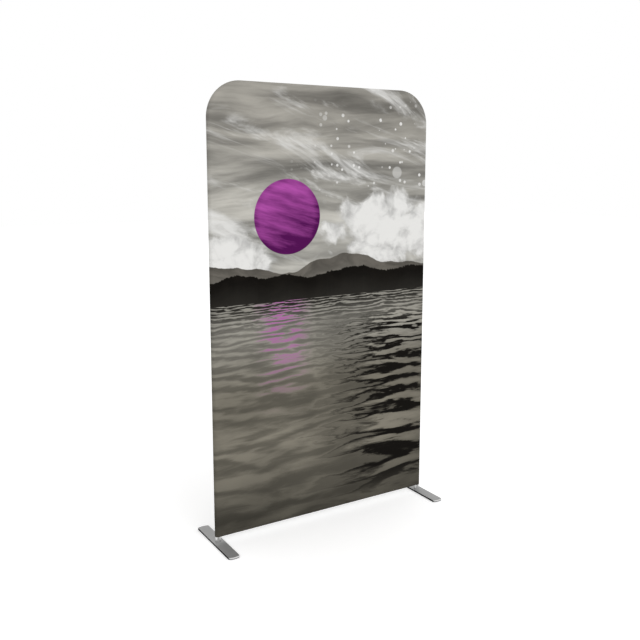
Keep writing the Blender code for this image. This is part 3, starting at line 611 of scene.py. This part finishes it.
class BANNER_OT_sew_cover(bpy.types.Operator):
    """Sews the front and back panels of the stretch cover and the lining of their seam"""

    bl_idname = "banner.sew_cover"
    bl_label = "Cover"

    def execute(self, context):
        cover = context.scene.banner_cover
        inside = cover_outside - cover.thickness
        flap_x = upright_x - tube_radius - cover.post_gap
        back_edge = zip_z + cover.zip_opening / 2
        flap_edge = zip_z - cover.zip_opening / 2
        finish = print_finish("printed_knit", cover)

        steps = 3 * cover.wrap_steps
        flap = []
        for step in range(1, steps + 1):
            turn = pi * step / steps
            flap.append((-inside * cos(turn), bottom_z - inside * sin(turn)))
        flap.append((inside, flap_edge))
        edges = flap_x, bottom_z, flap
        front = cloth_panel("front_cloth", cover, -1, *edges, finish, "printed_fabric", "fabric_front")
        edges = flap_x + cover.seam_gap, back_edge, ()
        back = cloth_panel("back_cloth", cover, 1, *edges, finish, "back_fabric", "fabric_back")

        lining = Finish("seam_lining", roughness=0.9)
        fray = lining.noise(lining.place, scale=900.0)
        lining.paint(lining.shade_by(cover.lining, fray, 0.3, 0.7, 0.7, 1.3))
        form = bmesh.new()
        rows = []
        for x, z, out_x, out_z, _ in frame_line(cover):
            row = []
            for height, turn in LINING_SECTION:
                radius = tube_radius + height
                reach = radius * cos(turn)
                row.append(form.verts.new((x + out_x * reach, radius * sin(turn), z + out_z * reach)))
            rows.append(row)
        loft(form, rows)
        new_piece("seam_lining", mesh_of("seam_lining", form), lining, "back_fabric")
        return {"FINISHED"}


# Stitches

STITCH_SIDES = 6
# A stitch's shape, as (place along it, share of its full thickness)
STITCH_SHAPE = ((-0.5, 0.15), (-0.36, 0.85), (0.0, 1.0), (0.36, 0.85), (0.5, 0.15))
STITCH_SINK = 0.35  # of its thickness that lies in the cloth
THREAD_TWIST = 4200.0  # radians of the thread's twist in a metre


def add_stitches(name, routes, cover, finish, slot):
    """Raised stitches in line along each route, which lists (point on the cloth, way out of the cloth)."""
    form = bmesh.new()
    radius = cover.thread / 2
    for route in routes:
        travelled = 0.0
        due = cover.stitch_pitch / 2
        for (start, start_out), (end, end_out) in zip(route, route[1:]):
            span = (end - start).length
            while due <= travelled + span:
                share = (due - travelled) / span
                along = (end - start).normalized()
                out = start_out.lerp(end_out, share).normalized()
                beside = along.cross(out)
                centre = start.lerp(end, share) + out * radius * (1 - 2 * STITCH_SINK)
                rows = []
                for place, fullness in STITCH_SHAPE:
                    middle = centre + along * place * cover.stitch_length - out * radius * (1 - fullness)
                    turns = [tau * side / STITCH_SIDES for side in range(STITCH_SIDES)]
                    ways = [(out * cos(turn) + beside * sin(turn)) * radius for turn in turns]
                    rows.append([form.verts.new(middle + way * fullness) for way in ways])
                loft(form, rows)
                due += cover.stitch_pitch
            travelled += span
    mesh = mesh_of(name, form)
    mesh.shade_smooth()
    return new_piece(name, mesh, finish, slot)


def thread_finish(cover):
    thread = Finish("sewing_thread", roughness=0.6, sheen_weight=0.2)
    twist = thread.math("SINE", thread.times(thread.add(thread.x, thread.z), THREAD_TWIST))
    thread.paint(thread.shade_by(cover.sewing, twist, -1.0, 1.0, 0.75, 1.25))
    return thread


class BANNER_OT_sew_hems(bpy.types.Operator):
    """Sews the hem round each post opening and the stitches round the zip"""

    bl_idname = "banner.sew_hems"
    bl_label = "Hems"

    def execute(self, context):
        cover = context.scene.banner_cover
        finish = thread_finish(cover)
        flap_x = upright_x - tube_radius - cover.post_gap
        height = leg_z + cover.hem
        hems = []
        for side, _ in SIDES:
            side_x = side * (flap_x + cover.hem_inset)
            route = [(Vector((side_x, -cover_outside, height)), -THROUGH)]
            for step in range(2 * cover.wrap_steps + 1):
                turn = pi * step / (2 * cover.wrap_steps)
                out = Vector((side * sin(turn), -cos(turn), 0))
                route.append((Vector((side * upright_x, 0, height)) + out * cover_outside, out))
            route.append((Vector((side_x, cover_outside, height)), THROUGH))
            hems.append(route)
        add_stitches("post_hem_stitches", hems, cover, finish, "printed_fabric")

        rows = []
        reach = flap_x - cover.hem_inset
        rise = cover.zip_opening / 2 + cover.hem_inset
        for side, _ in SIDES:
            height = zip_z + side * rise
            ends = (Vector((-reach, cover_outside, height)), Vector((reach, cover_outside, height)))
            rows.append([(end, THROUGH) for end in ends])
            side_x = side * (flap_x + cover.hem_inset)
            ends = (Vector((side_x, cover_outside, z)) for z in (leg_z + cover.hem, zip_z + rise))
            rows.append([(end, THROUGH) for end in ends])
        add_stitches("zip_stitches", rows, cover, finish, "back_fabric")
        return {"FINISHED"}


# The zip

TOOTH_HEAD_SHARE = 0.45  # of a tooth's height that its head takes
TWILL = 5200.0  # radians of the tape's twill in a metre


def tooth_rows(side, low, high, zipper):
    """Layers of one tooth's outline (x, z) from the tape outwards. side is 1 for the upper row."""
    neck, width, soft = zipper.tooth_neck / 2, zipper.tooth_width / 2, zipper.tooth_round
    root, tip = (high.z, low.z) if side > 0 else (low.z, high.z)
    head = tip + side * (high.z - low.z) * TOOTH_HEAD_SHARE
    outline = [(-neck, root), (-neck, head), (-width, (head + tip) / 2), (-neck, tip)]
    outline += [(neck, tip), (width, (head + tip) / 2), (neck, head), (neck, root)]
    middle = (low.z + high.z) / 2
    layers = []
    for y, drawn_in in ((low.y, 0.0), (high.y - soft, 0.0), (high.y, soft)):
        scale = 1 - drawn_in / width
        layers.append([Vector((x * scale, y, middle + (z - middle) * scale)) for x, z in outline])
    return layers


class BANNER_OT_fit_zip(bpy.types.Operator):
    """Fits the zip: two woven tapes, two rows of nylon teeth, and the finish of the slider, tab and stops"""

    bl_idname = "banner.fit_zip"
    bl_label = "Zip"

    def execute(self, context):
        zipper = context.scene.banner_zip
        nylon = Finish("zip_nylon", roughness=0.42)
        grain = nylon.noise(nylon.place, scale=700.0, detail=3.0)
        nylon.paint(nylon.shade_by(zipper.nylon, grain, 0.3, 0.7, 0.8, 1.3))
        for word, side, low, high, lead in (
            ("upper", 1, teeth_low, teeth_high, 0.0),
            ("lower", -1, lower_teeth_low, lower_teeth_high, 0.5),
        ):
            form = bmesh.new()
            layers = tooth_rows(side, low, high, zipper)
            count = int((high.x - low.x) / zipper.tooth_pitch)
            start = low.x + zipper.tooth_width
            for number in range(count):
                shift = ACROSS * (start + (number + lead) * zipper.tooth_pitch)
                if shift.x + zipper.tooth_width / 2 > high.x:
                    continue
                loft(form, [[form.verts.new(point + shift) for point in layer] for layer in layers])
            teeth = mesh_of(word + "_zip_teeth", form)
            new_piece(teeth.name, teeth, nylon, "zip_teeth", ["zip_teeth_" + word])

        weave = Finish("zip_tape_weave", roughness=0.88, sheen_weight=0.15)
        twill = weave.math("SINE", weave.times(weave.add(weave.x, weave.z), TWILL))
        weave.paint(weave.shade_by(zipper.tape, twill, -1.0, 1.0, 0.7, 1.5))
        for word in ("upper", "lower"):
            low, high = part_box("zip_tape_" + word)
            form = bmesh.new()
            section = []
            count = 4 * zipper.ridges
            for step in range(count + 1):
                share = step / count
                wave = (1 - cos(tau * zipper.ridges * share)) / 2
                section.append((high.y - zipper.ridge * wave, low.z + (high.z - low.z) * share))
            section += [(low.y, high.z), (low.y, low.z)]
            rows = [[form.verts.new((x, y, z)) for y, z in section] for x in (low.x, high.x)]
            loft(form, rows)
            mesh = mesh_of(word + "_tape", form)
            strip = new_piece(mesh.name, mesh, weave, "zip_tape", ["zip_tape_" + word])

        metal = Finish("zip_dark_nickel", roughness=0.32, metallic=1.0)
        worn = metal.noise(metal.place, scale=420.0, detail=5.0, roughness=0.65)
        metal.paint(metal.shade_by(zipper.metal, worn, 0.3, 0.75, 0.85, 1.35))
        metal.set(roughness=metal.fade(worn, 0.3, 0.7, 0.26, 0.42))
        dress(("zip_stop_left", "zip_stop_right", "zip_slider", "zip_pull_tab"), metal)
        return {"FINISHED"}


# The frame

LINE_DEPTH = 0.00001  # of the fine lines that rolling and drawing leave in metal
FINE, COARSE = 900.0, 6.0  # scales across and along the lines of drawn tube
LEAF_ARM_STEPS, LEAF_BEND_STEPS = 6, 16


def drawn_metal(name, tone, roughness, grain, upright=False):
    """Metal with fine lines. grain holds the scale of the lines along X, Y and Z."""
    metal = Finish(name, roughness=roughness, metallic=1.0)
    parts = zip((metal.x, metal.y, metal.z), grain)
    stretched = metal.point(*(metal.times(part, scale) for part, scale in parts))
    lines = metal.noise(stretched, scale=1.0, detail=4.0, roughness=0.65)
    cloudy = metal.noise(metal.place, scale=18.0, detail=3.0)
    amount = metal.times(metal.fade(lines, 0.25, 0.75, 0.90, 1.10), metal.fade(cloudy, 0.3, 0.7, 0.96, 1.04))
    metal.paint(metal.shade(tone, amount))
    metal.set(roughness=metal.fade(lines, 0.25, 0.75, roughness - 0.06, roughness + 0.08))
    metal.relief(lines, LINE_DEPTH, 0.3, metal.round_normal(upright_x) if upright else None)
    return metal


class BANNER_OT_finish_frame(bpy.types.Operator):
    """Gives the frame's tubes the finish of drawn aluminium, with its lines along each tube"""

    bl_idname = "banner.finish_frame"
    bl_label = "Frame"

    def execute(self, context):
        tone = context.scene.banner_metal.aluminium
        upright = drawn_metal("drawn_aluminium_upright", tone, 0.34, (FINE, FINE, COARSE), upright=True)
        level = drawn_metal("drawn_aluminium_level", tone, 0.34, (COARSE, FINE, FINE))
        bent = drawn_metal("drawn_aluminium_bent", tone, 0.36, (10 * COARSE, FINE, 10 * COARSE))
        turned = drawn_metal("turned_aluminium", tone, 0.30, (10.0, 10.0, 2500.0))
        for _, word in SIDES:
            dress(("upper_upright_" + word, "lower_upright_" + word), upright)
            dress(("bottom_stub_" + word, "bottom_tube_" + word), level)
            dress(("top_corner_" + word,), bent)
            dress(("foot_spigot_" + word,), turned)
        dress(("top_tube",), level)
        return {"FINISHED"}


def leaf_line(near, far, high, seat, low, bend):
    """The middle line (out, along) of a leaf spring: its arm at the button, its bend and its other arm."""
    middle = (near + far) / 2
    bend_end = low + bend
    shoulder = high - 2 * seat
    line = [(near, high), (near, shoulder)]
    for step in range(1, LEAF_ARM_STEPS):
        share = step / LEAF_ARM_STEPS
        line.append((near + (middle + bend - near) * share, shoulder + (bend_end - shoulder) * share))
    for step in range(LEAF_BEND_STEPS + 1):
        turn = pi * step / LEAF_BEND_STEPS
        line.append((middle + bend * cos(turn), bend_end - bend * sin(turn)))
    for step in range(1, LEAF_ARM_STEPS):
        share = step / LEAF_ARM_STEPS
        line.append((middle - bend + (far - middle + bend) * share, bend_end + (shoulder - bend_end) * share))
    return line + [(far, shoulder), (far, high)]


def leaf_rows(line, thickness, width):
    """Sections (out, along, y) of a strip with softened edges along the line."""
    half, side = thickness / 2, width / 2
    soft = half / 2
    section = [(half, soft - side), (half, side - soft), (half - soft, side), (soft - half, side)]
    section += [(-offset, -y) for offset, y in section]
    points = [Vector(point) for point in line]
    rows = []
    for i, point in enumerate(points):
        before = (point - points[i - 1]).normalized() if i else (points[1] - point).normalized()
        after = (points[i + 1] - point).normalized() if i + 1 < len(points) else before
        course = (before + after).normalized()
        across = Vector((course.y, -course.x)) / course.dot(before)
        rows.append([(point + across * offset).to_tuple() + (y,) for offset, y in section])
    return rows


class BANNER_OT_finish_snap_buttons(bpy.types.Operator):
    """Bends the leaf springs that sit under the snap buttons, and finishes both as spring steel"""

    bl_idname = "banner.finish_snap_buttons"
    bl_label = "Snap buttons"

    def execute(self, context):
        metals = context.scene.banner_metal
        steel = drawn_metal("spring_steel", metals.spring, 0.30, (700.0, 700.0, 700.0))
        for joint in frame["joints"]:
            if not joint["name"].endswith("_button_press"):
                continue
            word = joint["name"].removesuffix("_button_press")
            out = -Vector(joint["axis"])
            button = sum(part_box("snap_button_" + word), Vector()) / 2
            low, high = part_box("snap_spring_" + word)
            along = out.cross(THROUGH)
            if along.dot(button - (low + high) / 2) < 0:
                along.negate()
            far, near = sorted((out.dot(low), out.dot(high)))
            spring_low, spring_high = sorted((along.dot(low), along.dot(high)))
            half = metals.leaf / 2
            seat = spring_high - along.dot(button)
            arms = near - half, far + half, spring_high, seat, spring_low + half
            line = leaf_line(*arms, metals.leaf_bend)
            form = bmesh.new()
            rows = [
                [form.verts.new(out * reach + along * place + THROUGH * y) for reach, place, y in row]
                for row in leaf_rows(line, metals.leaf, high.y - low.y)
            ]
            loft(form, rows)
            mesh = mesh_of("leaf_spring_" + word, form)
            mesh.shade_smooth()
            mesh.set_sharp_from_angle(angle=FOLD_ANGLE)
            leaf = new_piece(mesh.name, mesh, steel, "spring_steel", ["snap_spring_" + word], body=None)
            rest = button - out * out.dot(button)
            start, end = rest + out * (far + half), rest + out * (near - half)
            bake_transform(leaf)
            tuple(start)
            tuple(end)
            dress(("snap_button_" + word,), steel)
        return {"FINISHED"}


# The feet

PLATE_METALLIC = 0.6  # how far the plates' coating reflects as a metal does
RUBBER_DEPTH = 0.0001  # of the pads' grain
# Depths of the painted highlight on the plates' rounded end edges
HIGHLIGHT_LOW, HIGHLIGHT_HIGH = 0.0042, 0.0006  # depths under the top between which a plate's edge is bright


def plate_finish(metals):
    """Silver-coated steel with fine lines along the plate, a painted highlight on the rounded end edges,
    painted shade on the end faces and long sides painted near black as a dark reflection.
    """
    steel = Finish("silver_plate", roughness=0.48, specular_ior_level=0.0)
    fine, coarse = 1500.0, 14.0
    grain = steel.point(steel.times(steel.x, fine), steel.times(steel.y, coarse), steel.times(steel.z, fine))
    lines = steel.noise(grain, scale=1.0, detail=4.0, roughness=0.6)
    cloudy = steel.fade(steel.noise(steel.place, scale=9.0, detail=3.0), 0.3, 0.7, 0.96, 1.04)
    tone = steel.times(steel.fade(lines, 0.25, 0.75, 0.93, 1.07), cloudy)
    beside, _, above = (steel.math("ABSOLUTE", part) for part in steel.parts_of(steel.normal))
    wall = steel.fade(above, 0.02, 0.22, 1.0, 0.0)
    # Painted highlight: a lighter band on the rounded end edges, between two depths under the top
    edge = steel.times(
        steel.fade(steel.z, plate_top - HIGHLIGHT_LOW, plate_top - HIGHLIGHT_LOW / 2),
        steel.fade(steel.z, plate_top - HIGHLIGHT_HIGH, plate_top - HIGHLIGHT_HIGH / 4, 1.0, 0.0),
    )
    top = steel.tint(edge, metals.plate, metals.plate_edge_painted_highlight)
    # Painted shade: upright faces take the darker end colour
    top = steel.shade(steel.tint(wall, top, metals.plate_end_painted_shade), tone)
    # Painted reflection: the long upright sides are painted near black and lose their metal, standing in for
    # a dark reflection
    side = steel.times(steel.fade(beside, 0.72, 0.90), wall)
    steel.paint(steel.tint(side, top, metals.plate_side))
    steel.set(metallic=steel.fade(side, 0.0, 1.0, PLATE_METALLIC, 0.0))
    steel.set(roughness=steel.fade(lines, 0.25, 0.75, 0.42, 0.54))
    steel.relief(lines, LINE_DEPTH, 0.25)
    return steel


class BANNER_OT_finish_feet(bpy.types.Operator):
    """Gives the foot plates, their screws and their pads their finishes"""

    bl_idname = "banner.finish_feet"
    bl_label = "Feet"

    def execute(self, context):
        metals = context.scene.banner_metal
        plate = plate_finish(metals)
        screw = drawn_metal("black_screw", metals.screw, 0.38, (400.0, 400.0, 400.0))
        rubber = Finish("pad_rubber", roughness=0.82)
        grain = rubber.noise(rubber.place, scale=1400.0, detail=4.0, roughness=0.6)
        rubber.paint(rubber.shade_by(metals.rubber, grain, 0.3, 0.7, 0.8, 1.5))
        rubber.relief(grain, RUBBER_DEPTH, 0.5)
        for _, word in SIDES:
            dress(("foot_plate_" + word,), plate)
            dress(("foot_screw_" + word,), screw)
            dress(("foot_pad_" + word + "_front", "foot_pad_" + word + "_rear"), rubber)
        return {"FINISHED"}


# The studio

# Turn of the lamp, which shines from the front, high up and a little to the right
LAMP_TURN = (radians(52), 0, radians(18))


class BANNER_OT_set_stage(bpy.types.Operator):
    """Sets up the floor, the white surroundings, the soft lamp and the camera"""

    bl_idname = "banner.set_stage"
    bl_label = "Studio"

    def execute(self, context):
        stage = context.scene.banner_stage
        scene = context.scene
        scene.view_settings.view_transform = "Standard"
        self.add_floor(scene, stage)
        self.light_sky(scene, stage)
        self.add_lamp(scene, stage)
        self.add_camera(scene, stage)
        return {"FINISHED"}

    def add_floor(self, scene, stage):
        """The floor lies under the lower foot, so it doesn't hide a foot that is drawn out of its post."""
        finish = Finish("studio_floor", roughness=1.0, specular_ior_level=0.0, emission_color=(1.0, 1.0, 1.0))
        finish.paint(stage.floor_colour)
        finish.set(emission_strength=finish.times(finish.seen_rays("Is Glossy Ray"), stage.floor_lift))
        half = stage.floor_size / 2
        mesh = bpy.data.meshes.new("studio_floor")
        corners = [(-half, -half, 0), (half, -half, 0), (half, half, 0), (-half, half, 0)]
        mesh.from_pydata(corners, [], [(0, 1, 2, 3)])
        mesh.materials.append(finish.material)
        floor = bpy.data.objects.new("studio_floor", mesh)
        scene.collection.objects.link(floor)
        for _, word in SIDES:
            under = floor.constraints.new("FLOOR")
            under.target = bpy.data.objects["foot_plate_" + word].parent
            under.floor_location = "FLOOR_NEGATIVE_Z"

    def light_sky(self, scene, stage):
        """Soft light all round, weaker from the left. The camera, gloss and glass see white."""
        world = bpy.data.worlds.new("studio_sky")
        scene.world = world
        world.use_nodes = True
        sky = Tree(world.node_tree)
        light = sky.nodes["Background"]
        where = sky.node("TexCoord").outputs["Generated"]
        weakest = stage.sky_light - stage.sky_fall
        soft = sky.fade(sky.parts_of(where)[0], -1.0, 0.0, weakest, stage.sky_light, "LINEAR")
        seen = sky.seen_rays("Is Glossy Ray", "Is Transmission Ray")
        sky.feed(light.inputs["Color"], (1.0, 1.0, 1.0))
        sky.feed(light.inputs["Strength"], sky.fade(seen, 0.0, 1.0, soft, 1.0, "LINEAR"))

    def add_lamp(self, scene, stage):
        light = bpy.data.lights.new("soft_lamp", "SUN")
        light.energy = stage.lamp_energy
        light.angle = stage.lamp_spread
        lamp = bpy.data.objects.new("soft_lamp", light)
        lamp.rotation_euler = LAMP_TURN
        scene.collection.objects.link(lamp)

    def add_camera(self, scene, stage):
        lens = bpy.data.cameras.new("camera")
        lens.lens = stage.camera_lens
        lens.shift_y = stage.camera_shift
        camera = bpy.data.objects.new("camera", lens)
        camera.location = stage.camera_place
        camera.rotation_euler = (pi / 2 - stage.camera_pitch, 0, stage.camera_yaw)
        scene.collection.objects.link(camera)
        scene.camera = camera


class BANNER_PT_tools(bpy.types.Panel):
    """Lists the banner's steps and settings"""

    bl_idname = "BANNER_PT_tools"
    bl_label = "Fabric frame banner"
    bl_space_type = "VIEW_3D"
    bl_region_type = "UI"
    bl_category = "Banner"

    def draw(self, context):
        for operator in STEPS:
            self.layout.operator(operator.bl_idname)
        for attribute, group in SETTINGS:
            box = self.layout.box()
            box.label(text=group.__doc__)
            settings = getattr(context.scene, attribute)
            for name in group.__annotations__:
                box.prop(settings, name)


SETTINGS = (
    ("banner_cover", CoverSettings),
    ("banner_zip", ZipSettings),
    ("banner_metal", MetalSettings),
    ("banner_stage", StageSettings),
)
STEPS = (
    BANNER_OT_set_stage,
    BANNER_OT_sew_cover,
    BANNER_OT_sew_hems,
    BANNER_OT_fit_zip,
    BANNER_OT_finish_frame,
    BANNER_OT_finish_snap_buttons,
    BANNER_OT_finish_feet,
)


def register():
    for attribute, group in SETTINGS:
        bpy.utils.register_class(group)
        setattr(bpy.types.Scene, attribute, PointerProperty(type=group))
    for operator in STEPS:
        bpy.utils.register_class(operator)
    bpy.utils.register_class(BANNER_PT_tools)


def unregister():
    bpy.utils.unregister_class(BANNER_PT_tools)
    for operator in reversed(STEPS):
        bpy.utils.unregister_class(operator)
    for attribute, group in reversed(SETTINGS):
        delattr(bpy.types.Scene, attribute)
        bpy.utils.unregister_class(group)


def main():
    register()
    bpy.ops.banner.set_stage()
    bpy.ops.banner.sew_cover()
    bpy.ops.banner.sew_hems()
    bpy.ops.banner.fit_zip()
    bpy.ops.banner.finish_frame()
    bpy.ops.banner.finish_snap_buttons()
    bpy.ops.banner.finish_feet()


if __name__ == "__main__":
    main()
